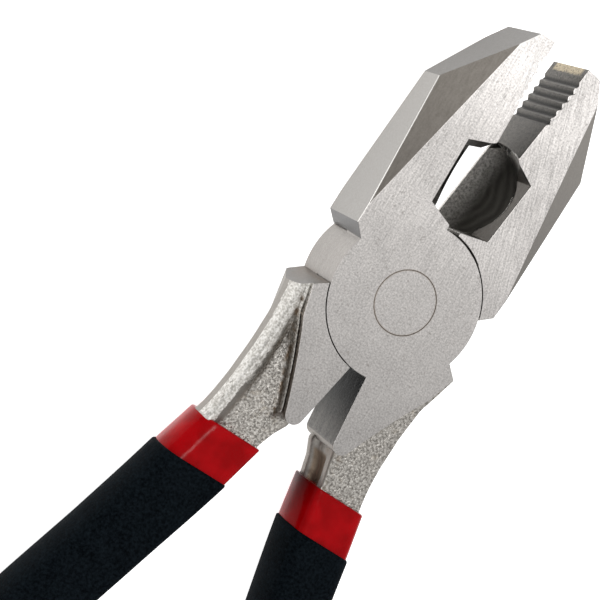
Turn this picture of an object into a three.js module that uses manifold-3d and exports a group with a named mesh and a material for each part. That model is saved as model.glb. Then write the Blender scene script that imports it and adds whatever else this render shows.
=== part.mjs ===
// Lineman-type combination pliers, slightly open, lying flat on their back face.
//
// Millimetres. +Z is the pivot axis and points out of the front face, +Y points to the jaw
// tips, and the origin is on the pivot axis in the plane of the back face.
//
// Two forgings cross in a lap joint. The front half has the left jaw and the right handle,
// the back half has the right jaw and the left handle. Both are the same forging, turned over
// about Y. Every shape below is drawn with the jaws closed, for the front half.

import * as THREE from 'three';
import { mergeVertices } from 'three/addons/utils/BufferGeometryUtils.js';
import { LoftGeometry } from 'three/addons/geometries/LoftGeometry.js';
import Module from 'manifold-3d';

const wasm = await Module();
wasm.setup();

// ---------------------------------------------------------------- driving dimensions

const THICKNESS = 15;                 // head, back face to front face
const MID = THICKNESS / 2;            // lap plane
const LAP_GAP = 0.2;                  // between the two joint discs
const OPENING = 9;                    // angle between the jaws as modelled, degrees

const RIVET_RADIUS = 6.5;
const RIVET_CLEARANCE = 0.08;
const DISC_RADIUS = 16.2;
const RECESS_CLEARANCE = 0.4;         // round the partner's disc

const TIP_Y = 57.7;
const TIP_WIDTH = 3.5;                // each jaw, at its flat end
const JAW_GAP = 0.1;                  // each jaw stops this far short of the middle plane
const CORNER = [16.1, 40.9];          // widest corner of the jaw
const SHOULDER = [17.3, 8.8];         // lower end of the jaw's side
const SHOULDER_FOOT = [14.8, 6.3];    // where the shoulder meets the disc

const CHAMFER_START = [17.2, 12.5];   // the jaw's big chamfer leaves the side here ...
const CHAMFER_END = [10.0, 40.1];     // ... and runs through here on the face
const CHAMFER_ANGLE = 32.6;

const TOOTH_COUNT = 6;                // valleys between the ridges of the gripping pad
const TOOTH_FIRST_Y = 44.7;
const TOOTH_PITCH = 1.83;
const TOOTH_RADIUS = 0.8;
const TOOTH_PROUD = 0.15;             // valley centre, outside the pad

const WINDOW = [[0, 35.2], [5.8, 33.2], [5.9, 19.4], [0, 17.2]];   // half of the hexagon
const KNIFE_Z = 0.8;                  // the knife edge, above the back face
const KNIFE_ANGLE = 48;               // of the knife's bevel to the face
const CUTTER_RADIUS = 10.3;           // of the round hollow that the bevel is ground in
const CUTTER_TILT = 26.5;
const CUTTER_CENTRE = [-6.8, 27.2];   // where the cutter's axis passes the front face

const LEDGE_INNER = [15.2, -6.1];     // stop face on the handle's boss
const LEDGE_OUTER = [17.7, -8.4];
const LOBE_TIP = [3.75, -30.1];       // round end of the ground face on the handle
const LOBE_TIP_RADIUS = 2.0;

const BODY_BACK = 2.7;                // the as-forged part of the handle, in Z
const BODY_RIDGE = 7.4;               // its parting line, on the outer side
const BODY_FRONT = 12.3;
const BODY_DRAFT = 0.4;               // of the outer side, from the parting line to the back
const WEB_DEPTH = 1.5;                // of the sunk web on the back

// Distances down the grip line, from the upper edge of the red collar.
const TANG_START = -8;
const TANG_END = 120;
const RED_END = 128;
const BLACK_START = 9.5;
const BLACK_END = 133;
const LAYER_GAP = 0.3;                // between the steel, the red sleeve and the black sleeve

// ---------------------------------------------------------------- mesh and solid helpers

const radians = THREE.MathUtils.degToRad;

/** A closed three.js geometry as a solid that can be joined and cut. */
function solid(geometry) {
  const bare = new THREE.BufferGeometry();
  bare.setAttribute('position', geometry.attributes.position);
  bare.setIndex(geometry.index);
  const merged = mergeVertices(bare, 1e-5);
  const corners = merged.index.array;
  const triVerts = [];
  for (let i = 0; i < corners.length; i += 3) {
    const [a, b, c] = [corners[i], corners[i + 1], corners[i + 2]];
    if (a !== b && b !== c && c !== a) triVerts.push(a, b, c);
  }
  const mesh = new wasm.Mesh({
    numProp: 3,
    vertProperties: new Float32Array(merged.attributes.position.array),
    triVerts: new Uint32Array(triVerts),
  });
  return new wasm.Manifold(mesh);
}

/** A solid back as a three.js geometry. */
function toGeometry(body) {
  const mesh = body.getMesh();
  const geometry = new THREE.BufferGeometry();
  const position = new THREE.BufferAttribute(new Float32Array(mesh.vertProperties), 3);
  geometry.setAttribute('position', position);
  geometry.setIndex(new THREE.BufferAttribute(new Uint32Array(mesh.triVerts), 1));
  geometry.computeVertexNormals();
  return geometry;
}

/** A flat outline raised from z = low to z = high. */
function slab(shape, low, high, curveSegments = 24) {
  const depth = high - low;
  const geometry = new THREE.ExtrudeGeometry(shape, { depth, bevelEnabled: false, curveSegments });
  return solid(geometry.translate(0, 0, low));
}

function polygon(points) {
  return new THREE.Shape(points.map(([x, y]) => new THREE.Vector2(x, y)));
}

/** An upright cylinder on the pivot axis. */
function disc(radius, low, high, segments = 96) {
  const geometry = new THREE.CylinderGeometry(radius, radius, high - low, segments);
  return solid(geometry.rotateX(Math.PI / 2).translate(0, 0, (low + high) / 2));
}

/** A large block that fills everything above the plane through a point with this normal. */
function blockAbove(point, along, normal) {
  const size = 60;
  const side = new THREE.Vector3().crossVectors(normal, along).normalize();
  const frame = new THREE.Matrix4().makeBasis(along, side, normal);
  const centre = point.clone().addScaledVector(normal, size / 2);
  const geometry = new THREE.BoxGeometry(2 * size, size, size);
  return solid(geometry.applyMatrix4(frame.setPosition(centre)));
}

// ---------------------------------------------------------------- the jaw and the joint

function jawOutline() {
  return polygon([
    [-JAW_GAP, 8],
    [-JAW_GAP, TIP_Y],
    [-TIP_WIDTH, TIP_Y],
    [-CORNER[0], CORNER[1]],
    [-SHOULDER[0], SHOULDER[1]],
    [-SHOULDER_FOOT[0], SHOULDER_FOOT[1]],
    [-8, 2],
  ]);
}

/** The big flat chamfer along the outside of the jaw, on the front or on the back. */
function jawChamfer(front) {
  const start = new THREE.Vector2(-CHAMFER_START[0], CHAMFER_START[1]);
  const end = new THREE.Vector2(-CHAMFER_END[0], CHAMFER_END[1]);
  const run = end.clone().sub(start).normalize();
  const lean = radians(CHAMFER_ANGLE);
  const up = front ? 1 : -1;
  const along = new THREE.Vector3(run.x, run.y, 0);
  const normal = new THREE.Vector3(-run.y * Math.sin(lean), run.x * Math.sin(lean), up * Math.cos(lean));
  const point = new THREE.Vector3(start.x, start.y, front ? THICKNESS : 0);
  return blockAbove(point, along, normal);
}

/** The round valleys between the ridges of the gripping pad. */
function toothValleys() {
  const valleys = [];
  for (let i = 0; i < TOOTH_COUNT; i += 1) {
    const y = TOOTH_FIRST_Y + i * TOOTH_PITCH;
    const rod = new THREE.CylinderGeometry(TOOTH_RADIUS, TOOTH_RADIUS, THICKNESS + 2, 20);
    rod.rotateX(Math.PI / 2).translate(TOOTH_PROUD - JAW_GAP, y, MID);
    valleys.push(solid(rod));
  }
  return valleys;
}

// ---------------------------------------------------------------- the handle

/** The flat ground face that runs from the joint down the handle, ending in a round tip. */
function lobeOutline() {
  const shape = new THREE.Shape();
  shape.moveTo(0.7, -12);
  shape.lineTo(0.7, -16.4);
  shape.lineTo(LOBE_TIP[0] - LOBE_TIP_RADIUS, LOBE_TIP[1]);
  shape.absarc(LOBE_TIP[0], LOBE_TIP[1], LOBE_TIP_RADIUS, Math.PI, 2 * Math.PI - 0.5, false);
  shape.bezierCurveTo(8.0, -26.0, 12.0, -18.9, 15.3, -14.2);
  shape.lineTo(LEDGE_OUTER[0], LEDGE_OUTER[1]);
  shape.lineTo(LEDGE_INNER[0], LEDGE_INNER[1]);
  shape.lineTo(10, -4);
  return shape;
}

/** The as-forged handle at stations down Y: inner side, edge of the flat front, parting line. */
const BODY_STATIONS = [
  { y: -7.0, inner: 11.0, flat: 17.9, ridge: 20.9 },
  { y: -12.4, inner: 6.0, flat: 16.9, ridge: 19.4 },
  { y: -17.5, inner: 2.2, flat: 14.8, ridge: 18.3 },
  { y: -24.0, inner: 2.2, flat: 13.2, ridge: 17.6 },
  { y: -31.5, inner: 2.2, flat: 12.9, ridge: 17.2 },
  { y: -36.0, inner: 3.8, flat: 13.5, ridge: 17.3 },
  { y: -39.0, inner: 4.8, flat: 14.2, ridge: 17.5 },
];

/** The as-forged part of the handle, from the stop face to where the grip starts. */
function handleBody() {
  const sections = BODY_STATIONS.map(({ y, inner, flat, ridge }) => [
    new THREE.Vector3(inner, y, BODY_BACK),
    new THREE.Vector3(ridge - BODY_DRAFT, y, BODY_BACK),
    new THREE.Vector3(ridge, y, BODY_RIDGE),
    new THREE.Vector3(flat, y, BODY_FRONT),
    new THREE.Vector3(inner, y, BODY_FRONT),
  ]);
  const body = solid(new LoftGeometry(sections, { capStart: true, capEnd: true }));
  const stop = new THREE.Vector3(LEDGE_OUTER[0] - LEDGE_INNER[0], LEDGE_OUTER[1] - LEDGE_INNER[1], 0);
  const outwards = new THREE.Vector3(-stop.y, stop.x, 0).normalize();
  const corner = new THREE.Vector3(LEDGE_INNER[0], LEDGE_INNER[1], MID);
  return body.subtract(blockAbove(corner, new THREE.Vector3(0, 0, 1), outwards));
}

/** The sunk triangular web between the outer rib and the ground face, on the back. */
function web() {
  const outline = polygon([[15.9, -14.5], [14.1, -20], [13.2, -27], [13.4, -45], [6.2, -45], [5.2, -32.3]]);
  return slab(outline, 0, BODY_BACK + WEB_DEPTH);
}

// ---------------------------------------------------------------- grips and what they cover

/** Middle line of the handle inside its grip, closed jaws, right side. */
const gripLine = new THREE.CatmullRomCurve3([
  new THREE.Vector3(9.9, -40.1, MID),
  new THREE.Vector3(12.6, -55.2, MID),
  new THREE.Vector3(15.9, -71.5, MID),
  new THREE.Vector3(20.3, -94.0, MID),
  new THREE.Vector3(23.6, -120.0, MID),
  new THREE.Vector3(24.4, -147.0, MID),
  new THREE.Vector3(22.8, -173.0, MID),
]);
const GRIP_LENGTH = gripLine.getLength();

/** Value at s on straight segments through [s, value] pairs. */
function between(pairs, s) {
  let [s0, v0] = pairs[0];
  for (const [s1, v1] of pairs) {
    if (s <= s1) return s1 === s0 ? v1 : v0 + (v1 - v0) * (s - s0) / (s1 - s0);
    [s0, v0] = [s1, v1];
  }
  return v0;
}

/** Half width and half height of each layer, at distances s down the grip line. */
const LAYERS = {
  tang: { width: [[-8, 5.2], [0, 5.2], [12, 5.0], [134, 3.8]], height: [[-8, 4.3], [134, 3.2]] },
  red: { width: [[0, 7.2], [9.5, 7.4], [25, 6.7], [134, 6.3]], height: [[0, 6.0], [9.5, 6.2], [134, 5.3]] },
  black: { width: [[9.5, 7.9], [30, 7.9], [134, 8.0]], height: [[9.5, 6.9], [30, 7.2], [134, 7.3]] },
};
const OUTER_EXTRA = 0.5;              // the outer side is that much wider, and rounder
const INNER_POWER = 0.62;             // of the section: 1 is an ellipse, lower is squarer
const OUTER_POWER = 0.85;
const SECTION_POINTS = 20;
const STEPS = 16;
const ROUND_LENGTH = 5;               // a closed lower end draws in over this length
const ROUND_STEPS = [0.25, 0.5, 0.7, 0.85, 0.95];

/** A rounded-box section. Its plane is square to the Y axis of the pliers as modelled. */
function ring(layer, s, extra, draw) {
  const part = THREE.MathUtils.clamp(s / GRIP_LENGTH, 0, 1);
  const centre = gripLine.getPointAt(part);
  if (s < 0) centre.addScaledVector(gripLine.getTangentAt(0), s);
  const across = new THREE.Vector3(Math.cos(radians(OPENING / 2)), -Math.sin(radians(OPENING / 2)), 0);
  const width = (between(layer.width, s) + extra) * draw;
  const height = (between(layer.height, s) + extra) * draw;
  const points = [];
  for (let i = 0; i < SECTION_POINTS; i += 1) {
    const angle = 2 * Math.PI * i / SECTION_POINTS;
    const outer = Math.cos(angle) > 0;
    const power = outer ? OUTER_POWER : INNER_POWER;
    const reach = outer ? width + OUTER_EXTRA * draw : width;
    const side = Math.sign(Math.cos(angle)) * Math.abs(Math.cos(angle)) ** power * reach;
    const lift = Math.sign(Math.sin(angle)) * Math.abs(Math.sin(angle)) ** power * height;
    points.push(centre.clone().addScaledVector(across, side).setZ(centre.z + lift));
  }
  return points;
}

/** One layer of the handle along the grip line, square at its upper end, rounded at its lower. */
function limb(layer, start, end, extra = 0) {
  const sections = [];
  for (let i = 0; i <= STEPS; i += 1) {
    sections.push(ring(layer, start + (end - ROUND_LENGTH - start) * i / STEPS, extra, 1));
  }
  for (const part of ROUND_STEPS) {
    const draw = Math.sqrt(1 - part * part);
    sections.push(ring(layer, end - ROUND_LENGTH * (1 - part), extra, draw));
  }
  return solid(new LoftGeometry(sections, { capStart: true, capEnd: true }));
}

// ---------------------------------------------------------------- the forging

/** One forging with its jaws closed: left jaw, right handle, joint disc in the upper half. */
function forging() {
  let body = slab(jawOutline(), 0, THICKNESS);
  body = body.subtract(jawChamfer(true));
  body = body.subtract(jawChamfer(false));
  for (const valley of toothValleys()) body = body.subtract(valley);
  body = body.add(disc(DISC_RADIUS, 0, THICKNESS));
  body = body.add(handle());
  body = body.subtract(disc(DISC_RADIUS + RECESS_CLEARANCE, -1, MID + LAP_GAP / 2));
  return body.subtract(disc(RIVET_RADIUS + RIVET_CLEARANCE, -1, THICKNESS + 1, 64));
}

function handle() {
  const body = handleBody().subtract(web());
  const tang = limb(LAYERS.tang, TANG_START, TANG_END);
  return slab(lobeOutline(), 0, THICKNESS).add(body).add(tang);
}

/** What the cutter's pocket takes away on the left jaw, closed, open to the front. */
function cutterPocket() {
  const outline = WINDOW.map(([x, y]) => [-x, y]).concat([[3, 17.2], [3, 35.2]]);
  const window = slab(polygon(outline), -1, THICKNESS + 1);
  const tilt = radians(CUTTER_TILT);
  const wheel = new THREE.CylinderGeometry(CUTTER_RADIUS, CUTTER_RADIUS, 60, 64);
  wheel.rotateX(Math.PI / 2).rotateY(tilt).translate(-CUTTER_CENTRE[0], CUTTER_CENTRE[1], THICKNESS);
  const lean = radians(KNIFE_ANGLE);
  const bevelUp = new THREE.Vector3(Math.sin(lean), 0, Math.cos(lean));
  const edge = new THREE.Vector3(-JAW_GAP, CUTTER_CENTRE[1], KNIFE_Z);
  const above = blockAbove(edge, new THREE.Vector3(0, 1, 0), bevelUp);
  return window.add(solid(wheel)).intersect(above);
}

/** The same solid turned over about Y, for the other half. */
function turnedOver(body) {
  const geometry = toGeometry(body);
  return solid(geometry.rotateY(Math.PI).translate(0, 0, THICKNESS));
}

/** The same solid mirrored left to right. */
function mirrored(body) {
  const geometry = toGeometry(body);
  geometry.scale(-1, 1, 1);
  const corners = geometry.index.array;
  for (let i = 0; i < corners.length; i += 3) {
    [corners[i], corners[i + 1]] = [corners[i + 1], corners[i]];
  }
  return solid(geometry);
}

// ---------------------------------------------------------------- materials and assembly

function finish(color, roughness, metalness) {
  return new THREE.MeshStandardMaterial({ color, roughness, metalness });
}

function piece(name, body, material) {
  const mesh = new THREE.Mesh(toGeometry(body), material);
  mesh.name = name;
  return mesh;
}

/** The two layers of one grip, closed jaws, right side. */
function grip(side) {
  const redHollow = limb(LAYERS.tang, -2, TANG_END + LAYER_GAP, LAYER_GAP);
  const red = limb(LAYERS.red, 0, RED_END).subtract(redHollow);
  const blackHollow = limb(LAYERS.red, BLACK_START - 2, RED_END + LAYER_GAP, LAYER_GAP);
  const black = limb(LAYERS.black, BLACK_START, BLACK_END).subtract(blackHollow);
  const group = new THREE.Group();
  group.add(piece(`${side}_grip_undersleeve`, red, finish(0xa80a12, 0.25, 0)));
  group.add(piece(`${side}_grip_sleeve`, black, finish(0x14181b, 0.9, 0)));
  return group;
}

/** Turns a group over about Y, which is how the second forging lies on the first. */
function turnOver(group) {
  group.rotation.y = Math.PI;
  group.position.z = THICKNESS;
  return group;
}

const steel = finish(0xb4b0aa, 0.35, 1);
const blank = forging();
const pocket = cutterPocket();

const front = new THREE.Group();
front.rotation.z = radians(OPENING / 2);
front.add(piece('front_half', blank.subtract(pocket), steel));
front.add(grip('right'));

const back = new THREE.Group();
back.rotation.z = -radians(OPENING / 2);
back.add(piece('back_half', turnedOver(blank).subtract(mirrored(pocket)), steel));
back.add(piece('pivot_rivet', disc(RIVET_RADIUS, 0, THICKNESS, 64), steel));
back.add(turnOver(grip('left')));

const pliers = new THREE.Group();
pliers.add(back, front);

export default pliers;
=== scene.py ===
"""Looks of the combination pliers: detailed steel halves, rivet and dipped grips, with lights."""

import math

import bmesh
import bpy
import numpy as np
from mathutils import Euler, Matrix, Vector


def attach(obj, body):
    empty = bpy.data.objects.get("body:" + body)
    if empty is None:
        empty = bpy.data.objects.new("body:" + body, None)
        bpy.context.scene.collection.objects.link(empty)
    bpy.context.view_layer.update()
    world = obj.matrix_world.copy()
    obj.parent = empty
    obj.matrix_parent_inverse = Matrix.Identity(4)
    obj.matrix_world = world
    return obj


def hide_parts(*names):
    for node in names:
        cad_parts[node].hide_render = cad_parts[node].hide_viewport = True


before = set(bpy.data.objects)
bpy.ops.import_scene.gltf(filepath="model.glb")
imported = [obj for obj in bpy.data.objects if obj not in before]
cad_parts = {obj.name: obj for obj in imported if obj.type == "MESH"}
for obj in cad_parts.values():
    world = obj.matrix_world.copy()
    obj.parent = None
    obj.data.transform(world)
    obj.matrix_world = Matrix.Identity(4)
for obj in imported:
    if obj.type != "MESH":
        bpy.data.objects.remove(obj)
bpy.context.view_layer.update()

# Millimetres. Each forging is shaped as the front half with the jaws closed, and then posed.
MM = 0.001
THICKNESS = 15.0
MID = THICKNESS / 2           # the lap plane
OPENING = 9.0                 # degrees between the jaws at rest
RECESS_RADIUS = 16.6          # of the CAD's recess for the partner's disc
RECESS_TOP = 7.6
NARROW_RADIUS = 16.46         # what the recess is drawn in to, for a finer gap
NARROW_TOP = MID + 0.02
RIVET_RADIUS = 6.5

FRONT_POSE = Matrix.Rotation(math.radians(OPENING / 2), 4, "Z")
TURN_OVER = Matrix.Translation((0, 0, THICKNESS)) @ Matrix.Rotation(math.pi, 4, "Y")
BACK_POSE = Matrix.Rotation(math.radians(-OPENING / 2), 4, "Z") @ TURN_OVER


# ------------------------------------------------------------------ mesh helpers

def link(name, mesh):
    piece = bpy.data.objects.new(name, mesh)
    bpy.context.scene.collection.objects.link(piece)
    return piece


def loft(name, rings):
    """A closed mesh through rings, an array of (rings, points, 3)."""
    rows, columns, _ = rings.shape
    faces = [list(range(columns))[::-1]]
    for row in range(rows - 1):
        for column in range(columns):
            beside = (column + 1) % columns
            a, b = row * columns + column, row * columns + beside
            faces.append([a, b, b + columns, a + columns])
    faces.append(list(range((rows - 1) * columns, rows * columns)))
    mesh = bpy.data.meshes.new(name)
    mesh.from_pydata(rings.reshape(-1, 3).tolist(), [], faces)
    outwards(mesh)
    return link(name, mesh)


def outwards(mesh):
    """Turns all faces of a closed mesh to face outwards."""
    shell = bmesh.new()
    shell.from_mesh(mesh)
    bmesh.ops.recalc_face_normals(shell, faces=shell.faces)
    shell.to_mesh(mesh)
    shell.free()


def prism(name, outline, low, high):
    ring = np.array(outline, float)
    rings = [np.column_stack([ring, np.full(len(ring), z)]) for z in (low, high)]
    return loft(name, np.array(rings))


def circle(radius, count):
    turn = 2 * np.pi * np.arange(count) / count
    return np.column_stack([radius * np.cos(turn), radius * np.sin(turn)])


def combine(target, other, operation):
    """Joins other to target, or cuts it out, and removes other."""
    modifier = target.modifiers.new("solid", "BOOLEAN")
    modifier.operation = operation
    modifier.solver = "MANIFOLD"
    modifier.object = other
    graph = bpy.context.evaluated_depsgraph_get()
    result = bpy.data.meshes.new_from_object(target.evaluated_get(graph))
    target.modifiers.clear()
    target.data = result
    bpy.data.objects.remove(other)
    return target


def lattice_noise(points, cell, seed):
    """Smooth noise from -1 to 1 with lumps of about one cell."""
    table = np.random.default_rng(seed).random((32, 32, 32)) * 2 - 1
    scaled = points / cell
    base = np.floor(scaled).astype(int)
    part = scaled - base
    part = part * part * (3 - 2 * part)
    total = np.zeros(len(points))
    for dx in (0, 1):
        for dy in (0, 1):
            for dz in (0, 1):
                corner = (base + (dx, dy, dz)) % 32
                weight = np.abs(1 - dx - part[:, 0]) * np.abs(1 - dy - part[:, 1])
                weight = weight * np.abs(1 - dz - part[:, 2])
                total += weight * table[corner[:, 0], corner[:, 1], corner[:, 2]]
    return total


def mesh_array(mesh, key):
    values = np.zeros(len(mesh.vertices) * 3, np.float32)
    if key == "co":
        mesh.vertices.foreach_get("co", values)
    else:
        mesh.vertex_normals.foreach_get("vector", values)
    return values.reshape(-1, 3).astype(float)


def move_along_normals(mesh, amount):
    moved = mesh_array(mesh, "co") + mesh_array(mesh, "normal") * amount[:, None]
    mesh.vertices.foreach_set("co", moved.astype(np.float32).ravel())
    mesh.update()


def blur_rows(rings, times):
    """Rounds off kinks from ring to ring, and leaves the end rings."""
    for _ in range(times):
        middle = (rings[:-2] + 2 * rings[1:-1] + rings[2:]) / 4
        rings = np.concatenate([rings[:1], middle, rings[-1:]])
    return rings


def blur_rings(rings, times):
    """Rounds off the corners of each ring."""
    for _ in range(times):
        rings = (np.roll(rings, 1, axis=1) + 2 * rings + np.roll(rings, -1, axis=1)) / 4
    return rings


def spread(corners, counts):
    """Points along a closed polygon, counts[i] of them on the edge that leaves corner i."""
    points = []
    for i, count in enumerate(counts):
        start, end = corners[i], corners[(i + 1) % len(corners)]
        for step in range(count):
            points.append(start + (end - start) * step / count)
    return np.array(points)


# ------------------------------------------------------------------ the neck of a forging

# The stop face runs from LEDGE_INNER to LEDGE_OUTER. The ground face ends in a round tip.
LEDGE_INNER = np.array([15.2, -6.1])
LEDGE_OUTER = np.array([17.7, -8.4])
LOBE_TIP = np.array([3.75, -30.1])
LOBE_TIP_RADIUS = 2.0
LOBE_CURVE = [(8.0, -26.0), (12.0, -18.9), (15.3, -14.2)]
ARC_POINTS = 13
CURVE_POINTS = 25


def lobe_edge():
    """The outer edge of the ground face on the handle, from its inner side to the stop face."""
    turn = np.linspace(math.pi, 2 * math.pi - 0.5, ARC_POINTS)
    arc = LOBE_TIP + LOBE_TIP_RADIUS * np.column_stack([np.cos(turn), np.sin(turn)])
    a = arc[-1]
    b, c, d = (np.array(point) for point in LOBE_CURVE)
    t = np.linspace(0, 1, CURVE_POINTS)[1:, None]
    curve = a * (1 - t) ** 3 + 3 * b * t * (1 - t) ** 2 + 3 * c * t * t * (1 - t) + d * t ** 3
    return np.concatenate([arc, curve, [LEDGE_OUTER]])


EDGE = lobe_edge()
OUTER_EDGE = EDGE[ARC_POINTS - 1:]


def edge_at(y):
    """x of the ground face's outer edge at y, above its round tip."""
    return np.interp(y, OUTER_EDGE[:, 1], OUTER_EDGE[:, 0])


def at(y, *pairs):
    """Value at y on straight segments through (y, value) pairs that go down the handle."""
    ys, values = zip(*reversed(pairs))
    return float(np.interp(y, ys, values))


def neck_corners(y):
    """Corners of the neck's section at y, from the inner side round the back to the front.

    inner and ridge are the two sides. flat is where the front face turns down to the ridge.
    On the back, valley is the sunk web's low line, crest the top of the outer rib, and floor
    the web's height. Beside the ground face lie a thin flash and a moat. On the inner side,
    strip is the edge of the front face and groove the bottom of the hollow under it. A name
    with _z is a height above the back face, and the others are x.
    """
    edge = float(edge_at(y))
    inner = at(y, (-6, 12.5), (-15.8, 11.0), (-22.5, 7.2), (-28, 3.9), (-31, 2.4), (-32.4, 1.9),
               (-35.7, 3.4), (-39.3, 4.3), (-43, 4.8))
    ridge = at(y, (-7, 20.9), (-12.4, 19.4), (-17.5, 18.3), (-24, 17.6), (-31.5, 17.2),
               (-36, 17.3), (-39, 17.5), (-43, 18.2))
    flat = at(y, (-7, 18.4), (-9, 17.7), (-12.4, 16.9), (-17.5, 16.1), (-24, 15.2), (-31.5, 14.8),
              (-36, 15.0), (-39, 15.4), (-43, 16.2))
    flat_z = at(y, (-7, 14.9), (-9, 14.9), (-12.4, 14.2), (-17.0, 12.4), (-20, 12.3), (-43, 12.3))
    valley = at(y, (-7, 18.4), (-14.3, 16.2), (-19, 14.4), (-26, 13.3), (-31, 13.1), (-39.9, 13.5),
                (-43, 14.2))
    crest = at(y, (-7, 19.2), (-14.3, 17.2), (-19, 16.3), (-26, 15.6), (-39.9, 15.6), (-43, 16.2))
    crest_z = at(y, (-7, 0.7), (-10, 0.9), (-14, 1.7), (-18, 2.3), (-43, 2.6))
    floor_z = at(y, (-7, 0.9), (-11.5, 1.2), (-14, 2.3), (-17, 3.5), (-20, 4.2), (-43, 4.3))
    flash_z = at(y, (-7, 0.6), (-11, 0.8), (-13, 1.15), (-31.5, 1.25), (-33.0, 3.3))
    moat_z = at(y, (-7, 0.8), (-11, 1.0), (-13, 1.5), (-31.5, 1.65), (-33.0, 3.2))
    strip = at(y, (-6, 14.0), (-22, 7.6), (-28, 4.6), (-31.5, 3.9), (-34, 4.4), (-38.4, 5.4),
               (-43, 6.0))
    groove = at(y, (-6, 14.0), (-22, 7.6), (-28, 4.6), (-32.0, 3.9), (-33.6, 4.3),
                (-34.8, 5.4), (-36.5, 6.1), (-39, 6.6), (-43, 7.0))
    foot = edge + 0.8
    below_tip = at(y, (-31.0, 0.0), (-34.0, 1.0))
    slope = 3.2 + (floor_z - 3.2) * (foot - inner) / (valley - inner)
    foot_z = (1 - below_tip) * max(floor_z - 0.9, flash_z + 0.2) + below_tip * slope
    corners = [
        (inner, 5.0),
        (inner, 3.1),
        (edge - 0.7 if y > -31 else inner + 0.5 * (edge - inner), 3.2),
        (edge + 0.08, moat_z),
        (edge + 0.38, flash_z),
        (foot, foot_z),
        (max(valley - 0.7, foot + 0.1), floor_z),
        (max(valley + 0.2, foot + 0.2), floor_z - 0.4 * min(1.0, floor_z / 4.4)),
        (crest - 0.7, crest_z + 0.3),
        (crest + 0.4, crest_z),
        (ridge - 0.75, crest_z + 0.6),
        (ridge - 0.12, crest_z + 2.3),
        (ridge, 7.4),
        (flat, flat_z),
        (strip, min(flat_z, 12.3)),
        (strip, 10.0),
        (groove, 9.4),
        (groove, 5.7),
    ]
    return np.array(corners)


NECK_COUNTS = [5, 8, 6, 4, 5, 18, 4, 7, 5, 4, 4, 9, 18, 30, 6, 4, 10, 4]   # points per side
NECK_TOP = -6.4
NECK_END = -42.6
NECK_ROWS = 150
COLLAR_LIP = -40.9            # the neck is inside the collar below this y


def neck():
    """The as-forged neck from the stop face into the collar."""
    rows = []
    for y in np.linspace(NECK_TOP, NECK_END, NECK_ROWS):
        section = spread(neck_corners(y), NECK_COUNTS)
        rows.append(np.column_stack([section[:, 0], np.full(len(section), y), section[:, 1]]))
    rings = blur_rings(blur_rows(np.array(rows), 6), 2)
    tuck_into_collar(rings)
    piece = loft("neck", rings)
    points = mesh_array(piece.data, "co")
    move_along_normals(piece.data, forged_lumps(points, mesh_array(piece.data, "normal")))
    stop_cutter = block_above(LEDGE_INNER, LEDGE_OUTER)
    combine(piece, stop_cutter, "DIFFERENCE")
    recess = prism("recess", circle(RECESS_RADIUS, 96), -5, RECESS_TOP)
    return combine(piece, recess, "DIFFERENCE")


def tuck_into_collar(rings):
    """Draws the last rings in, so that they end inside the collar."""
    depth = np.clip((COLLAR_LIP - rings[:, 0, 1]) / 1.7, 0, 1)
    for ring, part in zip(rings, depth):
        middle = np.array([10.6, ring[0, 1], MID])
        ring[:] = middle + (ring - middle) * (1 - 0.3 * part)


def forged_lumps(points, normals):
    """Height of the orange-peel surface: strong on the faces, weak on the flanks and stop."""
    x, y, z = points.T
    flank = (normals[:, 0] > 0.6) & (z > 3.6)
    inner = normals[:, 0] < -0.5
    strength = np.where(flank | inner, 0.25, 1.0)
    strength = strength * np.clip((-y - 10) / 3, 0.2, 1)
    coarse = lattice_noise(points, 1.15, 11)
    fine = lattice_noise(points + 40, 0.6, 12)
    return strength * (0.07 * coarse + 0.045 * fine)


def block_above(start, end):
    """A large block on the jaw side of the upright plane through two points."""
    run = (end - start) / np.linalg.norm(end - start)
    away = np.array([-run[1], run[0]])
    size = 60
    left, right = start - run * size, start + run * size
    outline = [left, right, right + away * size, left + away * size]
    return prism("block", outline, -20, 40)


# ------------------------------------------------------------------ the ground head of a forging

BEVEL = 0.16
SHARP = math.radians(24)      # flatter edges get no bevel
WELD = 0.02                   # points closer than this are one
PAD_X = 0.15                  # the gripping pad's face, from the middle plane
VALLEY_Y = 44.7               # the first valley between the pad's ribs
VALLEY_PITCH = 1.83
VALLEY_HALF = 0.8
VALLEY_DEPTH = 0.6
VALLEYS_FROM, VALLEYS_TO = 43.9, 54.7
WINDOW_TOP = 35.2             # the window's upper side, at the middle plane
WINDOW_SLOPE = 0.345
KNIFE_Y = 27.4                # middle of the knife edge
KNIFE_HALF = 7.1
# With the ground face's edge, this bounds all that the neck takes the place of.
NECK_ROOM = [(17.72, -2), (70, -2), (70, -200), (-10, -200), (-10, -32.6)]


def head(node, pose):
    """The CAD forging without its neck, with small bevels on its edges."""
    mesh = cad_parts[node].data.copy()
    mesh.materials.clear()
    mesh.transform(pose.inverted() @ Matrix.Scale(1 / MM, 4))
    piece = link(node + "_head", mesh)
    weld(mesh)
    sharpen_ribs(mesh)
    outline = list(EDGE) + [np.array(point) for point in NECK_ROOM]
    combine(piece, prism("outside", outline, -5, 20), "DIFFERENCE")
    bevel_edges(piece.data)
    return piece


def stays_sharp(edge):
    """The rims beside the joint and the rivet, the ends of the tips, and the pads' ribs."""
    middle = (edge.verts[0].co + edge.verts[1].co) / 2
    radius = math.hypot(middle.x, middle.y)
    on_rim = 16.0 < radius < 16.9 and middle.y < 14.5 or 6.3 < radius < 6.8
    leans = [abs(face.normal.z) for face in edge.link_faces]
    on_tip = middle.y > 35 and min(leans) < 0.2 < max(leans) < 0.9
    on_face = middle.z > 14.99 or middle.z < 0.01
    on_ribs = abs(middle.x) < 0.9 and 43.0 < middle.y < 55.6 and not on_face
    return on_rim or on_tip and tip_side(edge) or on_ribs


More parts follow.
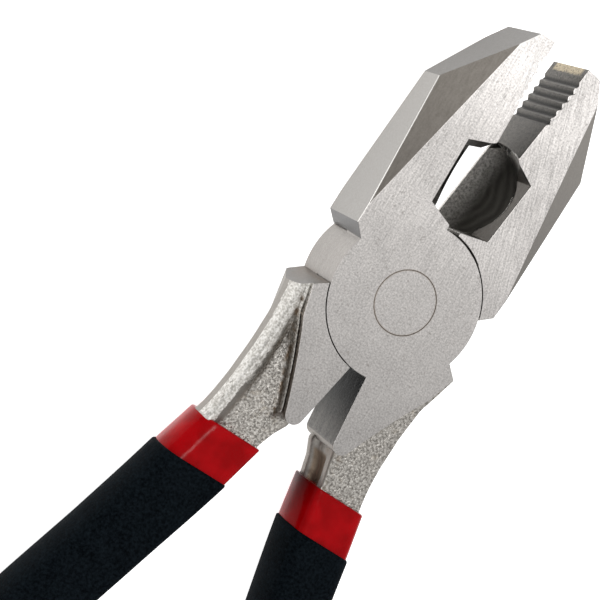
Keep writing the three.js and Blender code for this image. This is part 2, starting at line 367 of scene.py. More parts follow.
def tip_side(edge):
    """Whether one of the edge's faces is the upright side of the jaw's tip."""
    return any(face.normal.y > 0.3 and abs(face.normal.z) < 0.2 for face in edge.link_faces)


def sharpen_ribs(mesh):
    """Turns the round valleys of the gripping pad into V-shaped ones."""
    for vertex in mesh.vertices:
        x, y, _ = vertex.co
        if abs(x) > 1.0 or not VALLEYS_FROM < y < VALLEYS_TO:
            continue
        from_valley = (y - VALLEY_Y + VALLEY_PITCH / 2) % VALLEY_PITCH - VALLEY_PITCH / 2
        depth = VALLEY_DEPTH * max(0.0, 1 - abs(from_valley) / VALLEY_HALF)
        vertex.co.x = math.copysign(PAD_X + depth, x)


def weld(mesh):
    """Joins the points that lie on each other, so that faces share their edges."""
    shell = bmesh.new()
    shell.from_mesh(mesh)
    bmesh.ops.remove_doubles(shell, verts=shell.verts, dist=WELD)
    shell.to_mesh(mesh)
    shell.free()


def bevel_edges(mesh):
    """Breaks the sharp edges of the head with a small round bevel."""
    shell = bmesh.new()
    shell.from_mesh(mesh)
    bmesh.ops.remove_doubles(shell, verts=shell.verts, dist=WELD)
    bmesh.ops.dissolve_limit(shell, angle_limit=math.radians(0.7), verts=shell.verts,
                             edges=shell.edges)
    sharp = [edge for edge in shell.edges
             if len(edge.link_faces) == 2 and edge.calc_face_angle(0) > SHARP
             and not stays_sharp(edge)]
    bmesh.ops.bevel(shell, geom=sharp, offset=BEVEL, segments=2, profile=0.6, affect="EDGES",
                    clamp_overlap=False)
    bmesh.ops.triangulate(shell, faces=shell.faces)
    shell.to_mesh(mesh)
    shell.free()


def cutter_land():
    """The bevel behind the left knife edge, which shows inside the window's left side."""
    rows = []
    for y in np.linspace(16.8, 36.0, 33):
        bow = min(1.0, ((y - KNIFE_Y) / KNIFE_HALF) ** 2)
        lip = -0.62 + 0.44 * bow
        section = [(lip, 1.2), (lip, 5.2), (-3.6, 5.6), (-5.2, 7.4), (-6.4, 9.0), (-6.4, 1.2)]
        rows.append([(x, y, z) for x, z in section])
    return loft("land", np.array(rows))


def upper_land():
    """A bevel inside the window, along its upper side."""
    rows = []
    for x in np.linspace(-6.2, -0.4, 12):
        wall = WINDOW_TOP + x * WINDOW_SLOPE
        section = [(0.5, 14.3), (0.0, 14.3), (-1.6, 10.4), (-1.6, 8.6), (0.0, 5.0), (0.5, 5.0)]
        rows.append([(x, wall + y, z) for y, z in section])
    return loft("upper_land", np.array(rows))


FLAT_REGIONS = ("ground", "chamfer", "side", "side_tip", "stop")
STOP_NORMAL = Vector((0.677, 0.736, 0))


def finish_steel(piece, node, pose, body, materials):
    """Shades the piece, moves it to its pose in metres and gives it to its body."""
    mesh = piece.data
    mesh.materials.clear()
    for material in materials.values():
        mesh.materials.append(material)
    names = list(materials)
    mesh.shade_smooth()
    mesh.set_sharp_from_angle(angle=math.radians(32))
    for face in mesh.polygons:
        kind = region(face.center, face.normal)
        face.material_index = names.index(kind)
        face.use_smooth = kind not in FLAT_REGIONS
    mesh.transform(Matrix.Scale(MM, 4) @ pose)
    mesh.update()
    piece.name = node + "_steel"
    weighted = piece.modifiers.new("flats", "WEIGHTED_NORMAL")
    weighted.keep_sharp = True
    weighted.weight = 60
    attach(piece, body)
    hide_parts(node)


def region(centre, normal):
    """The kind of surface a face belongs to, from its place on the closed front half."""
    x, y, z = centre
    from_axis = math.hypot(x, y)
    if abs(normal.z) > 0.95 and (z > 14.8 or z < 0.2):
        return "ground"
    if -17 < y < -5.5 and x > 14 and normal.dot(STOP_NORMAL) > 0.9:
        return "stop"
    if y < -5.5 and from_axis > 16.3 or y < -17:
        return neck_region(x, y, z, normal)
    if 15 < y < 36.5 and -7.2 < x < 7.2:
        return "window" if abs(normal.z) < 0.05 and abs(x) > 3.2 else "hollow"
    if y > 35 and abs(x) < 1.2:
        return "pad"
    if 6.5 < y < 9.5 and from_axis > 16.6 and normal.x < -0.3 and normal.y < -0.3:
        return "shoulder"
    return jaw_side(normal) if y > 8 else "wall"


def neck_region(x, y, z, normal):
    """The inner wall, a smooth flank or the forged surface."""
    if x < 2.6 and y > -31.0:
        return "inner"
    in_groove = y < -30.5 and x < 7.4 and 4.6 < z < 10.4
    outer_side = normal.x > 0.75 and z > 5.0
    inner_side = y < -31 and normal.x < -0.4 or y < -30 and x < 3.2
    return "flank" if in_groove or outer_side or inner_side else "forged"


def jaw_side(normal):
    """A surface on the outside of a jaw, by how far it leans."""
    lean = abs(normal.z)
    # the bevels between a jaw's faces take the edge material, a painted highlight
    if 0.15 < lean < 0.78:
        return "edge"
    if lean > 0.5:
        return "chamfer"
    return "side" if normal.y < 0.3 else "side_tip"


def bell(distance, width):
    """1 at no distance, falling to nothing over a few widths."""
    return np.exp(-(distance / width) ** 2)


def grime_and_shade(points):
    """Brown on the neck, partly soil and partly painted shade in its hollows: along the lobe's
    edges, in the web's valley, in the inner groove, round the lobe's tip and by the stop face. 0 is
    clean, 1 is brown.
    """
    x, y, z = points.T
    outside = x - edge_at(y)
    beside_lobe = (y < -11.5) & (y > -33.5)
    back = (z < 6) & beside_lobe
    front = (z > 9) & beside_lobe
    patchy = 0.65 + 0.5 * lattice_noise(points, 1.6, 21)
    specks = np.clip(0.5 + 1.3 * lattice_noise(points, 0.7, 22), 0, 1.2)
    darkness = np.where(back, 0.5 * bell(outside, 0.2) + specks * bell(outside - 0.85, 0.4), 0)
    darkness += np.where(front, 0.5 * bell(outside - 0.2, 0.4), 0)
    valley = np.interp(y, [-39.9, -31, -26, -19, -14.3], [13.5, 13.1, 13.3, 14.4, 16.2])
    # painted shade along the web's low valley
    darkness += np.where((z < 6) & (y < -14), 0.35 * bell(x - valley, 0.45), 0)
    darkness = darkness * patchy
    # painted shade in the groove on the inner side, down the handle
    in_groove = (x < 7.5) & (z > 5.2) & (z < 9.8)
    darkness += np.where(in_groove, 0.8 * np.clip((-33.4 - y) / 0.6, 0, 1), 0)
    # painted shade round the lobe's round tip
    darkness += np.where(z > 9, 0.6 * patchy * bell(np.hypot(x - 3.7, y + 32.8), 0.8), 0)
    darkness += patchy * 0.6 * bell(np.hypot(x - 15.6, y + 6.8), 1.1)
    return np.clip(darkness, 0, 1)


def polish_and_highlight(points):
    """The bright outer rib and flash on the back, nickel brightened by wear and by a painted
    highlight: 0 is as forged, 1 is bright.
    """
    x, y, z = points.T
    crest = np.interp(y, [-39.9, -26, -19, -14.3, -7], [16.2, 16.2, 16.8, 17.6, 18.6])
    patchy = 0.85 + 0.5 * lattice_noise(points, 0.8, 31)
    rib = np.where(z < 5.3, np.clip(1.6 * bell(x - crest, 1.6), 0, 1), 0)
    beside_lobe = (y < -7.5) & (y > -31.5) & (z < 2.4)
    flash = np.where(beside_lobe, 0.9 * bell(x - edge_at(y) - 0.36, 0.17), 0)
    return np.clip((rib + flash) * patchy, 0, 1)


def close_gaps(mesh):
    """Narrows the gaps at the lap face and round the disc, and keeps within the thickness."""
    for vertex in mesh.vertices:
        radius = math.hypot(vertex.co.x, vertex.co.y)
        if abs(radius - RECESS_RADIUS) < 0.01:
            vertex.co.x *= NARROW_RADIUS / radius
            vertex.co.y *= NARROW_RADIUS / radius
        if abs(vertex.co.z - RECESS_TOP) < 0.02:
            vertex.co.z = NARROW_TOP
        vertex.co.z = min(max(vertex.co.z, 0.0), THICKNESS)


def forge(node, pose, body, materials):
    """One half of the pliers, head and neck in one mesh, in place of its CAD node."""
    piece = head(node, pose)
    combine(piece, neck(), "UNION")
    if node == "front_half":
        combine(piece, cutter_land(), "UNION")
        combine(piece, upper_land(), "UNION")
    close_gaps(piece.data)
    points = mesh_array(piece.data, "co")
    # stored masks: brown from soil and painted shade, and bright from nickel brightened by wear and
    # by a painted highlight
    for key, values in (("grime_and_shade", grime_and_shade(points)), ("polish_and_highlight", polish_and_highlight(points))):
        store = piece.data.attributes.new(key, "FLOAT", "POINT")
        store.data.foreach_set("value", values.astype(np.float32))
    finish_steel(piece, node, pose, body, materials)


# ------------------------------------------------------------------ materials

def nodes_of(name):
    """A new material, its node tree and its shader."""
    material = bpy.data.materials.new(name)
    material.use_nodes = True
    tree = material.node_tree
    return material, tree, tree.nodes["Principled BSDF"]


class Graph:
    """Short calls for the node trees below."""

    def __init__(self, tree):
        self.tree = tree

    def add(self, kind, **settings):
        node = self.tree.nodes.new(kind)
        for key, value in settings.items():
            setattr(node, key, value)
        return node

    def join(self, output, target):
        self.tree.links.new(output, target)

    def place(self, turn=0.0, scale=(1, 1, 1)):
        """Object coordinates in millimetres, turned about Z by so many degrees, then scaled."""
        source = self.add("ShaderNodeTexCoord").outputs["Object"]
        turned = self.add("ShaderNodeMapping")
        turned.inputs["Rotation"].default_value = (0, 0, math.radians(turn))
        turned.inputs["Scale"].default_value = (1 / MM, 1 / MM, 1 / MM)
        self.join(source, turned.inputs["Vector"])
        stretched = self.add("ShaderNodeMapping")
        stretched.inputs["Scale"].default_value = scale
        self.join(turned.outputs["Vector"], stretched.inputs["Vector"])
        return stretched.outputs["Vector"]

    def noise(self, vector, scale, detail=2.0, roughness=0.5):
        node = self.add("ShaderNodeTexNoise")
        node.inputs["Scale"].default_value = scale
        node.inputs["Detail"].default_value = detail
        node.inputs["Roughness"].default_value = roughness
        self.join(vector, node.inputs["Vector"])
        return node.outputs["Fac"]

    def remap(self, value, low, high, to_low, to_high, smooth=False):
        node = self.add("ShaderNodeMapRange")
        if smooth:
            node.interpolation_type = "SMOOTHSTEP"
        for key, number in zip(("From Min", "From Max", "To Min", "To Max"),
                               (low, high, to_low, to_high)):
            node.inputs[key].default_value = number
        self.join(value, node.inputs["Value"])
        return node.outputs["Result"]

    def math(self, operation, a, b):
        node = self.add("ShaderNodeMath", operation=operation)
        for socket, value in zip(node.inputs, (a, b)):
            if isinstance(value, (int, float)):
                socket.default_value = value
            else:
                self.join(value, socket)
        return node.outputs["Value"]

    def mix(self, factor, a, b):
        """Colour a where factor is 0 and b where it is 1."""
        node = self.add("ShaderNodeMix", data_type="RGBA")
        self.join(factor, node.inputs["Factor"])
        for socket, value in ((node.inputs[6], a), (node.inputs[7], b)):
            if isinstance(value, tuple):
                socket.default_value = (*value, 1)
            else:
                self.join(value, socket)
        return node.outputs[2]

    def scaled(self, colour, factor):
        node = self.add("ShaderNodeVectorMath", operation="SCALE")
        node.inputs[0].default_value = colour
        self.join(factor, node.inputs["Scale"])
        return node.outputs["Vector"]

    def bump(self, height, distance, strength=1.0, under=None):
        node = self.add("ShaderNodeBump")
        node.inputs["Strength"].default_value = strength
        node.inputs["Distance"].default_value = distance * MM
        self.join(height, node.inputs["Height"])
        if under is not None:
            self.join(under, node.inputs["Normal"])
        return node.outputs["Normal"]

    def attribute(self, name):
        return self.add("ShaderNodeAttribute", attribute_name=name).outputs["Fac"]

    def from_axis(self):
        """Distance from the pivot axis, in millimetres."""
        flat = self.place(0, (1, 1, 0))
        node = self.add("ShaderNodeVectorMath", operation="LENGTH")
        self.join(flat, node.inputs[0])
        return node.outputs["Value"]

    def axis(self, vector, name):
        node = self.add("ShaderNodeSeparateXYZ")
        self.join(vector, node.inputs[0])
        return node.outputs[name]


BROWN = (0.16, 0.10, 0.05)
STAIN = (0.50, 0.42, 0.29)
SPECK = (0.03, 0.028, 0.025)
PIT = (0.20, 0.18, 0.165)
GROUND_TINT = (1.0, 0.957, 0.923)


def ground_steel(name, turn, streaks, jaw=0.04, tip=0.46):
    """Belt-ground steel: brighter towards the tips as a painted highlight, with grain, streaks and a
    stained rivet.
    """
    material, tree, shader = nodes_of(name)
    graph = Graph(tree)
    along = graph.noise(graph.place(turn, (3.4, 0.15, 3.4)), 1.0, 5, 0.65)
    grain = graph.noise(graph.place(), 2.6, 3, 0.7)
    blotch = graph.noise(graph.place(), 0.14, 3, 0.6)
    height = graph.axis(graph.place(), "Y")
    # painted highlight: brighter from below the pivot up the head, more up the jaw and most at the
    # tips
    level = graph.math("ADD", graph.remap(height, -32, 12, 0.33, 0.50),
                       graph.remap(height, 26, 54, 0, tip, True))
    level = graph.math("ADD", level, graph.remap(height, 8, 18, 0, jaw, True))
    streak = graph.math("MULTIPLY", graph.remap(along, 0.3, 0.7, -1, 1), streaks)
    streak = graph.math("MULTIPLY", streak, graph.remap(height, -12, 25, 0.3, 1, True))
    uneven = graph.math("ADD", graph.remap(grain, 0.3, 0.7, 0.68, 1.32), streak)
    uneven = graph.math("ADD", uneven, graph.remap(blotch, 0.3, 0.7, -0.05, 0.05))
    steel = graph.scaled(GROUND_TINT, graph.math("MULTIPLY", level, uneven))
    pits = graph.noise(graph.place(), 1.1, 4, 0.75)
    steel = graph.mix(graph.remap(pits, 0.58, 0.68, 0, 0.5), steel, PIT)
    ring = graph.math("ABSOLUTE", graph.math("SUBTRACT", graph.from_axis(), RIVET_RADIUS), 0)
    stain = graph.remap(ring, 0.05, 0.28, 0.5, 0, True)
    steel = graph.mix(stain, steel, BROWN)
    graph.join(steel, shader.inputs["Base Color"])
    graph.join(graph.remap(along, 0.3, 0.7, 0.36, 0.5), shader.inputs["Roughness"])
    fine = graph.bump(along, 0.03, 0.5)
    graph.join(graph.bump(grain, 0.04, 0.6, fine), shader.inputs["Normal"])
    shader.inputs["Metallic"].default_value = 0.85
    return material


def valley_shade(graph, steel, darkness, lean):
    """Painted shade between the pad's ribs, on a jaw that leans by so many degrees."""
    depth = graph.math("ABSOLUTE", graph.axis(graph.place(lean), "X"), 0)
    return graph.mix(graph.remap(depth, 0.25, 0.6, 0, 0.85), steel, darkness)


def tip_stain(graph, steel, start):
    """A stain from y = start to the tip, inside the pad's edges, with specks round its start."""
    patches = graph.noise(graph.place(), 0.9, 3, 0.6)
    edge = graph.math("ADD", graph.axis(graph.place(), "Y"), patches)
    middle = graph.math("ABSOLUTE", graph.math("SUBTRACT", graph.axis(graph.place(), "Z"), MID), 0)
    inside = graph.remap(graph.math("ADD", middle, patches), 5.9, 6.7, 0.85, 0)
    stained = graph.math("MULTIPLY", graph.remap(edge, start, start + 0.5, 0, 1), inside)
    steel = graph.mix(stained, steel, STAIN)
    specks = graph.noise(graph.place(), 2.2, 3, 0.7)
    speckled = graph.math("MULTIPLY", graph.remap(edge, start - 1.4, start - 0.8, 0, 1),
                          graph.remap(specks, 0.5, 0.62, 0, 0.7))
    return graph.mix(speckled, steel, SPECK)


def plain_steel(name, dark, light, turn=0.0, stretch=(1.6, 0.3, 1.6), rough=(0.36, 0.5),
                bump=0.03, shade=None, stain=None, valleys=None):
    """Steel with a grain in one direction.

    shade is (y, y, factor, factor) of a darkening down the tool. stain is the y where a
    yellowish stain starts. valleys is the jaw's lean in degrees, for painted shade between the ribs.
    """
    material, tree, shader = nodes_of(name)
    graph = Graph(tree)
    along = graph.noise(graph.place(turn, stretch), 1.0, 4, 0.65)
    grain = graph.noise(graph.place(), 2.8, 2, 0.6)
    level = graph.math("ADD", graph.remap(along, 0.3, 0.7, 0.0, 0.6),
                       graph.remap(grain, 0.3, 0.7, 0.0, 0.4))
    steel = graph.mix(level, dark, light)
    if shade is not None:
        depth = graph.remap(graph.axis(graph.place(), "Y"), *shade, smooth=True)
        steel = graph.mix(depth, steel, tuple(0.12 * part for part in dark))
    if valleys is not None:
        # painted shade between the pad's ribs
        steel = valley_shade(graph, steel, tuple(0.5 * part for part in dark), valleys)
    if stain is not None:
        steel = tip_stain(graph, steel, stain)
    # brown where the neck holds soil, and painted shade in its hollows
    steel = graph.mix(graph.math("MULTIPLY", graph.attribute("grime_and_shade"), 0.8), steel, BROWN)
    graph.join(steel, shader.inputs["Base Color"])
    graph.join(graph.remap(along, 0.3, 0.7, *rough), shader.inputs["Roughness"])
    fine = graph.bump(along, bump, 0.5)
    graph.join(graph.bump(grain, bump, 0.6, fine), shader.inputs["Normal"])
    shader.inputs["Metallic"].default_value = 0.9
    return material


def forged_steel(name):
    """Nickel over an orange-peel forging: painted highlights on the crowns, painted shade and
    browner tones in the hollows.
    """
    material, tree, shader = nodes_of(name)
    graph = Graph(tree)
    lumps = graph.noise(graph.place(), 2.1, 2.0, 0.5)
    grit = graph.noise(graph.place(), 4.0, 2, 0.5)
    darkness = graph.noise(graph.place(), 0.5, 4, 0.7)
    # painted highlight on the bumps' crowns and painted shade in their hollows, from the same noise
    # as the bump
    steel = graph.mix(graph.remap(lumps, 0.34, 0.66, 0, 1), (0.16, 0.149, 0.134),
                      (0.455, 0.433, 0.402))
    steel = graph.mix(graph.remap(darkness, 0.56, 0.74, 0, 0.35), steel, (0.36, 0.30, 0.22))
    # nickel brightened by wear on the rib and flash, made brighter still as a painted highlight
    rubbed_and_highlit = graph.mix(graph.remap(lumps, 0.34, 0.62, 0, 1), (0.43, 0.41, 0.37),
                       (0.80, 0.78, 0.745))
    steel = graph.mix(graph.attribute("polish_and_highlight"), steel, rubbed_and_highlit)
    # brown where the neck holds soil, and painted shade in its hollows
    steel = graph.mix(graph.math("MULTIPLY", graph.attribute("grime_and_shade"), 0.85), steel, BROWN)
    graph.join(steel, shader.inputs["Base Color"])
    graph.join(graph.remap(grit, 0.3, 0.7, 0.27, 0.42), shader.inputs["Roughness"])
    coarse = graph.bump(lumps, 0.26, 1.0)
    graph.join(graph.bump(grit, 0.02, 0.6, coarse), shader.inputs["Normal"])
    graph.join(graph.remap(graph.attribute("polish_and_highlight"), 0, 1, 1.0, 0.35), shader.inputs["Metallic"])
    return material


def hollow_steel(name, turn, knife_reflection_colour):
    """The cutter's round hollow: near black as painted shade, with grinding rings, and a painted
    reflection beside the knife edge.
    """
    material, tree, shader = nodes_of(name)
    graph = Graph(tree)
    rings = graph.add("ShaderNodeTexWave", wave_type="RINGS", rings_direction="Z")
    rings.inputs["Scale"].default_value = 0.28
    rings.inputs["Distortion"].default_value = 5.0
    rings.inputs["Detail"].default_value = 4
    rings.inputs["Detail Scale"].default_value = 0.6
    centred = graph.add("ShaderNodeMapping")
    centred.inputs["Location"].default_value = (6.0, -27.0, 0)
    graph.join(graph.place(), centred.inputs["Vector"])
    graph.join(centred.outputs["Vector"], rings.inputs["Vector"])
    grain = graph.noise(graph.place(), 2.2, 3, 0.7)
    # painted shade: the hollow's base colour is near black
    steel = graph.mix(rings.outputs["Fac"], (0.07, 0.066, 0.058), (0.105, 0.10, 0.088))
    # painted reflection along the knife edge, in this half's colour for it
    across = graph.math("ABSOLUTE", graph.axis(graph.place(turn), "X"), 0)
    knife_reflection = graph.math("MULTIPLY", graph.remap(across, 0.6, 4.2, 1, 0, True),
                      graph.remap(grain, 0.32, 0.66, 0.3, 1))
    steel = graph.mix(knife_reflection, steel, knife_reflection_colour)
    graph.join(steel, shader.inputs["Base Color"])
    graph.join(graph.remap(grain, 0.3, 0.7, 0.34, 0.5), shader.inputs["Roughness"])
    graph.join(graph.bump(rings.outputs["Fac"], 0.05, 0.4), shader.inputs["Normal"])
    shader.inputs["Metallic"].default_value = 0.9
    return material


def red_dip(name):
    """Glossy dipped vinyl with slight waves, with painted shade on the sides between the handles."""
    material, tree, shader = nodes_of(name)
    graph = Graph(tree)
    wave = graph.noise(graph.place(), 0.22, 2, 0.5)
    skin = graph.noise(graph.place(), 1.4, 2, 0.5)
    red = graph.mix(graph.remap(wave, 0.38, 0.62, 0, 1), (0.27, 0.0, 0.0013), (0.365, 0.0008, 0.003))
    # painted shade: near black on the inner sides, away from the outer and upper faces
    inner = graph.math("ABSOLUTE", graph.axis(graph.place(), "X"), 0)
    unshaded = graph.math("MAXIMUM", graph.remap(inner, 5.0, 9.8, 0, 1, True),
                          graph.remap(graph.axis(graph.place(), "Z"), 11.8, 12.8, 0, 1, True))
    red = graph.mix(unshaded, (0.015, 0.0, 0.0), red)
    graph.join(red, shader.inputs["Base Color"])
    graph.join(graph.remap(skin, 0.3, 0.7, 0.12, 0.22), shader.inputs["Roughness"])
    low = graph.bump(wave, 0.25, 0.5)
    graph.join(graph.bump(skin, 0.02, 0.4, low), shader.inputs["Normal"])
    shader.inputs["Specular IOR Level"].default_value = 0.06
    return material


def black_sleeve(name):
    """Matte foam vinyl with a fine open grain."""
    material, tree, shader = nodes_of(name)
    graph = Graph(tree)
    grain = graph.noise(graph.place(), 1.7, 4, 0.7)
    blotch = graph.noise(graph.place(), 0.25, 3, 0.6)
    level = graph.math("ADD", graph.remap(grain, 0.38, 0.68, 0, 0.8),
                       graph.remap(blotch, 0.3, 0.7, 0, 0.2))
    graph.join(graph.mix(level, (0.0001, 0.0006, 0.0012), (0.0075, 0.0115, 0.015)),
               shader.inputs["Base Color"])
    graph.join(graph.remap(grain, 0.3, 0.7, 0.62, 0.85), shader.inputs["Roughness"])
    graph.join(graph.bump(grain, 0.18, 0.8), shader.inputs["Normal"])
    shader.inputs["Specular IOR Level"].default_value = 0.02
    return material


def steel_set(side, turn, streaks, jaw, tip, lean, knife_reflection, chamfer):
    """The materials of one half, by region. Besides differences of finish, the flat regions
    (chamfer, side, side_tip, stop, shoulder, window, wall, flank and inner) are one steel in tones
    set as painted light and shade for how each face lies, and edge is a painted highlight.

    turn is the direction of the grinding lines and lean that of the jaw, in degrees. streaks,
    jaw and tip are the strength of the lines and of the painted highlight up the jaw. The colour
    after them is that of the painted reflection beside the knife edge, and chamfer the dark and
    the light colour of the chamfer, which also carry painted shade.
    """
    return {
        "ground": ground_steel(side + "_ground", turn, streaks, jaw, tip),
        "forged": forged_steel(side + "_forged"),
        "flank": plain_steel(side + "_flank", (0.21, 0.195, 0.175), (0.33, 0.31, 0.285),
                             stretch=(1.0, 0.5, 1.0), rough=(0.42, 0.55)),
        "stop": plain_steel(side + "_stop", (0.10, 0.093, 0.086), (0.195, 0.183, 0.17)),
        "inner": plain_steel(side + "_inner", (0.015, 0.015, 0.013), (0.27, 0.258, 0.24),
                             stretch=(0.9, 0.22, 0.9), rough=(0.35, 0.5), bump=0.08,
                             shade=(-31, -18, 0.1, 1.0)),
        "hollow": hollow_steel(side + "_hollow", lean, knife_reflection),
        "shoulder": plain_steel(side + "_shoulder", (0.10, 0.098, 0.097), (0.19, 0.186, 0.184)),
        "window": plain_steel(side + "_window", (0.18, 0.165, 0.15), (0.34, 0.315, 0.29)),
        "pad": plain_steel(side + "_pad", (0.03, 0.0285, 0.026), (0.23, 0.215, 0.195),
                           stretch=(1.5, 1.5, 0.8), rough=(0.35, 0.5), bump=0.06, stain=56.1,
                           valleys=lean),
        "chamfer": plain_steel(side + "_chamfer", *chamfer, turn, (2.0, 0.3, 2.0),
                               shade=(52, 12, 0.0, 0.35)),
        "side": plain_steel(side + "_side", (0.26, 0.248, 0.233), (0.36, 0.347, 0.331),
                            turn, (1.2, 1.2, 3.0), bump=0.02),
        "side_tip": plain_steel(side + "_side_tip", (0.105, 0.098, 0.09), (0.18, 0.17, 0.158),
                                turn, (1.2, 1.2, 3.0), bump=0.02),
        # painted highlight on the jaws' bevels
        "edge": plain_steel(side + "_edge", (0.60, 0.58, 0.55), (0.85, 0.83, 0.80),
                            rough=(0.22, 0.34)),
        "wall": plain_steel(side + "_wall", (0.24, 0.222, 0.208), (0.41, 0.388, 0.365),
                            stretch=(0.6, 0.6, 3.0)),
    }


# ------------------------------------------------------------------ rivet and grips

def rivet(material):
    """The rivet with slightly rounded rims, flush with both faces."""
    rim = [(RIVET_RADIUS - 0.08, 0.0), (RIVET_RADIUS - 0.02, 0.02), (RIVET_RADIUS, 0.08)]
    profile = rim + [(radius, THICKNESS - z) for radius, z in reversed(rim)]
    rings = [np.column_stack([circle(radius, 128), np.full(128, z)]) for radius, z in profile]
    piece = loft("rivet_head_to_head", np.array(rings))
    for face in piece.data.polygons:
        face.use_smooth = len(face.vertices) == 4
    piece.data.materials.append(material)
    piece.data.transform(Matrix.Scale(MM, 4))
    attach(piece, "back_half")
    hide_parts("pivot_rivet")


# The grips' middle line, from the collar's lip to the end.
GRIP_POINTS = [(9.9, -40.1), (12.6, -55.2), (15.9, -71.5), (20.3, -94.0), (23.6, -120.0),
               (24.4, -147.0), (22.8, -173.0)]


def grip_line(count):
    """A smooth centripetal line through the grip points, and its length up to each point."""
    points = np.array(GRIP_POINTS)
    points = np.concatenate([[2 * points[0] - points[1]], points, [2 * points[-1] - points[-2]]])
    dense = []
    for p0, p1, p2, p3 in zip(points, points[1:], points[2:], points[3:]):
        t0, t1, t2, t3 = np.cumsum([0] + [np.linalg.norm(b - a) ** 0.5
                                          for a, b in ((p0, p1), (p1, p2), (p2, p3))])
        for t in np.linspace(t1, t2, count, endpoint=False):
            a1 = p0 * (t1 - t) / (t1 - t0) + p1 * (t - t0) / (t1 - t0)
            a2 = p1 * (t2 - t) / (t2 - t1) + p2 * (t - t1) / (t2 - t1)
            a3 = p2 * (t3 - t) / (t3 - t2) + p3 * (t - t2) / (t3 - t2)
            b1 = a1 * (t2 - t) / (t2 - t0) + a2 * (t - t0) / (t2 - t0)
            b2 = a2 * (t3 - t) / (t3 - t1) + a3 * (t - t1) / (t3 - t1)
            dense.append(b1 * (t2 - t) / (t2 - t1) + b2 * (t - t1) / (t2 - t1))
    dense.append(np.array(GRIP_POINTS[-1]))
    dense = np.array(dense)
    steps = np.linalg.norm(np.diff(dense, axis=0), axis=1)
    return dense, np.concatenate([[0], np.cumsum(steps)])


LINE, LINE_LENGTHS = grip_line(60)
ACROSS = np.array([math.cos(math.radians(OPENING / 2)), -math.sin(math.radians(OPENING / 2))])

# Corners (across, up from the middle) of a layer's section, at distances down the grip line.
RED_SECTIONS = [
    (0.0, [(-6.4, -5.6), (5.4, -5.75), (7.7, -3.8), (8.05, -0.1), (6.9, 5.7), (-5.1, 5.7),
           (-7.3, 0.2)]),
    (9.5, [(-6.6, -5.8), (5.3, -5.95), (7.6, -4.0), (8.25, -0.1), (6.9, 5.9), (-5.6, 5.9),
           (-7.3, 0.1)]),
    (30.0, [(-5.6, -5.6), (5.0, -5.6), (6.2, -4.6), (7.0, 0.0), (5.6, 5.6), (-5.4, 5.6),
            (-6.4, 0.0)]),
    (128.0, [(-5.2, -5.0), (4.6, -5.0), (5.7, -4.2), (6.3, 0.0), (5.4, 5.0), (-5.2, 5.0),
             (-5.9, 0.0)]),
]
BLACK_SECTIONS = [
    (9.5, [(-7.0, -6.5), (6.7, -6.6), (8.2, -5.3), (9.0, -0.1), (7.2, 6.6), (-6.1, 6.6),
           (-7.9, 0.1)]),
    (30.0, [(-6.6, -7.0), (6.2, -7.0), (7.6, -5.8), (8.5, 0.0), (6.6, 7.0), (-6.3, 7.0),
            (-7.9, 0.0)]),
    (133.0, [(-6.5, -7.1), (6.2, -7.1), (7.6, -5.9), (8.4, 0.0), (6.9, 7.1), (-6.4, 7.1),
             (-8.0, 0.0)]),
]
SECTION_COUNTS = [24, 4, 10, 12, 22, 12, 12]   # points per side
COLLAR_END = 128.0
SLEEVE_START = 9.5
SLEEVE_END = 132.6
TAIL = 6.0                    # length of the rounded end
RING_STEP = 0.8


def section_at(sections, s):
    """The section's corners at s, on straight lines between the stations."""
    stations = [station for station, _ in sections]
    corners = np.array([shape for _, shape in sections], float)
    return np.array([[np.interp(s, stations, corners[:, i, j]) for j in range(2)]
                     for i in range(corners.shape[1])])


def grip_ring(sections, s, rounding, draw):
    """One ring at s, drawn in by a factor towards its middle."""
    centre = [np.interp(s, LINE_LENGTHS, LINE[:, i]) for i in range(2)]
    section = spread(section_at(sections, s), SECTION_COUNTS)[None]
    section = blur_rings(section, rounding)[0] * draw
    side = np.array(centre) + section[:, :1] * ACROSS
    return np.column_stack([side, MID + section[:, 1]])


def grip_layer(name, sections, start, end, lip, rounding):
    """A layer from a rounded lip at its upper edge to a rounded lower end."""
    rings = []
    for turn in np.linspace(0, math.pi / 2, 6):
        draw = 1 - lip * (1 - math.sin(turn)) / 7
        rings.append(grip_ring(sections, start + lip * (1 - math.cos(turn)), rounding, draw))
    for s in np.arange(start + lip + 0.6, end - TAIL, RING_STEP):
        rings.append(grip_ring(sections, s, rounding, 1))
    for turn in np.linspace(0, math.pi / 2 - 0.12, 12):
        s = end - TAIL * (1 - math.sin(turn))
        rings.append(grip_ring(sections, s, rounding, math.cos(turn) ** 0.8))
    return loft(name, np.array(rings))


def grip(side, pose, body, red_material, black_material):
    """Both layers of one handle's grip, in place of their CAD nodes."""
    red = grip_layer(side + "_collar", RED_SECTIONS, 0.0, COLLAR_END, lip=0.35, rounding=14)
    black = grip_layer(side + "_sleeve", BLACK_SECTIONS, SLEEVE_START, SLEEVE_END, lip=0.6,
                       rounding=26)
    layers = ((red, side + "_grip_undersleeve", "red_vinyl", red_material),
              (black, side + "_grip_sleeve", "black_vinyl", black_material))
    for piece, node, slot, material in layers:
        for face in piece.data.polygons:
            face.use_smooth = True
        piece.data.transform(Matrix.Scale(MM, 4) @ pose)
        piece.data.materials.append(material)
        piece.name = node + "_skin"
        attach(piece, body)
        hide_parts(node)


# ------------------------------------------------------------------ camera, floor and light

def camera():
    """A long lens, above and to the left, that looks down on the joint."""
    lens = bpy.data.cameras.new("camera")
    lens.lens = 119.17
    lens.sensor_width = 36
    lens.clip_start = 0.01
    holder = bpy.data.objects.new("camera", lens)
    holder.location = (-0.170342, -0.013524, 0.358172)
    angles = (-13.6113, -19.758, 36.5813)
    holder.rotation_euler = Euler([math.radians(angle) for angle in angles])
    bpy.context.scene.collection.objects.link(holder)
    bpy.context.scene.camera = holder


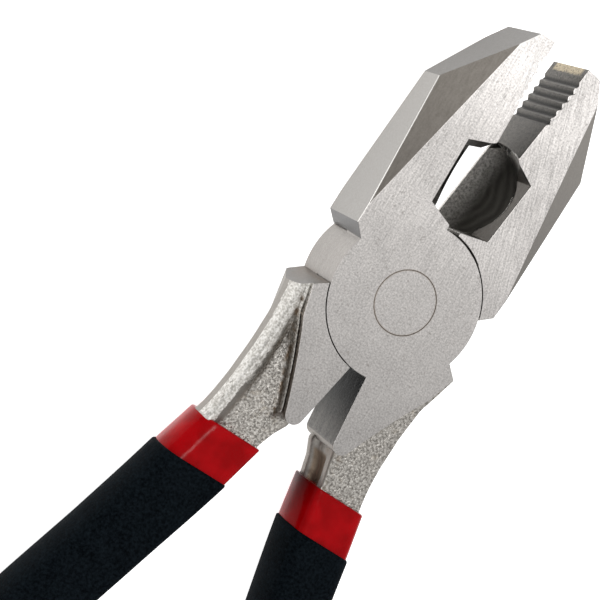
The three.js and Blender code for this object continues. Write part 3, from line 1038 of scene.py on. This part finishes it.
def floor():
    """A light table: white, and lit from within so that shadows stay faint."""
    mesh = bpy.data.meshes.new("floor")
    half = 3.0
    corners = [(-half, -half, 0), (half, -half, 0), (half, half, 0), (-half, half, 0)]
    mesh.from_pydata(corners, [], [(0, 1, 2, 3)])
    piece = link("floor", mesh)
    piece.location.z = -0.0002
    material, tree, shader = nodes_of("floor")
    shader.inputs["Base Color"].default_value = (0.85, 0.85, 0.85, 1)
    shader.inputs["Roughness"].default_value = 0.9
    shader.inputs["Emission Color"].default_value = (1, 1, 1, 1)
    shader.inputs["Emission Strength"].default_value = 0.9
    mesh.materials.append(material)


BRIGHT = Vector((0.50, -0.05, 0.86)).normalized()   # towards the sky's brightest part


def sky():
    """A soft studio: brightest high up on the right, dim on the left."""
    world = bpy.data.worlds.new("studio")
    world.use_nodes = True
    graph = Graph(world.node_tree)
    background = world.node_tree.nodes["Background"]
    background.inputs["Color"].default_value = (1, 1, 1, 1)
    way = graph.add("ShaderNodeTexCoord").outputs["Generated"]
    facing = graph.add("ShaderNodeVectorMath", operation="DOT_PRODUCT")
    graph.join(way, facing.inputs[0])
    facing.inputs[1].default_value = BRIGHT
    graph.join(graph.remap(facing.outputs["Value"], 0.1, 0.98, 0.55, 1.0, True),
               background.inputs["Strength"])
    bpy.context.scene.world = world


def lamp(name, place, size, power):
    """A round soft light that points at the joint."""
    light = bpy.data.lights.new(name, "AREA")
    light.shape = "DISK"
    light.size = size
    light.energy = power
    holder = bpy.data.objects.new(name, light)
    holder.location = place
    holder.rotation_euler = (-Vector(place)).to_track_quat("-Z", "Y").to_euler()
    bpy.context.scene.collection.objects.link(holder)


# ------------------------------------------------------------------ the scene

bpy.context.scene.view_settings.view_transform = "Standard"
camera()
floor()
sky()
lamp("overhead", (-0.06, 0.0, 0.6), 0.12, 0.6)

# The two halves are lit and shaded copies of one steel: their chamfer colours, jaw and tip
# highlights and knife reflections differ as painted light and shade.
front_steel = steel_set("front", turn=-4.5, streaks=0.24, jaw=0.06, tip=0.44, lean=-OPENING / 2,
                        knife_reflection=(0.05, 0.047, 0.042),
                        chamfer=((0.27, 0.245, 0.215), (0.38, 0.35, 0.315)))
back_steel = steel_set("back", turn=-22.0, streaks=0.32, jaw=0.09, tip=0.24, lean=OPENING / 2,
                       knife_reflection=(0.92, 0.885, 0.84),
                       chamfer=((0.165, 0.152, 0.137), (0.245, 0.228, 0.206)))
forge("front_half", FRONT_POSE, "front_half", front_steel)
forge("back_half", BACK_POSE, "back_half", back_steel)
rivet(ground_steel("rivet_face", turn=0.0, streaks=0.05))
vinyl = (red_dip("red_dip"), black_sleeve("black_sleeve"))
grip("right", FRONT_POSE, "front_half", *vinyl)
grip("left", BACK_POSE, "back_half", *vinyl)
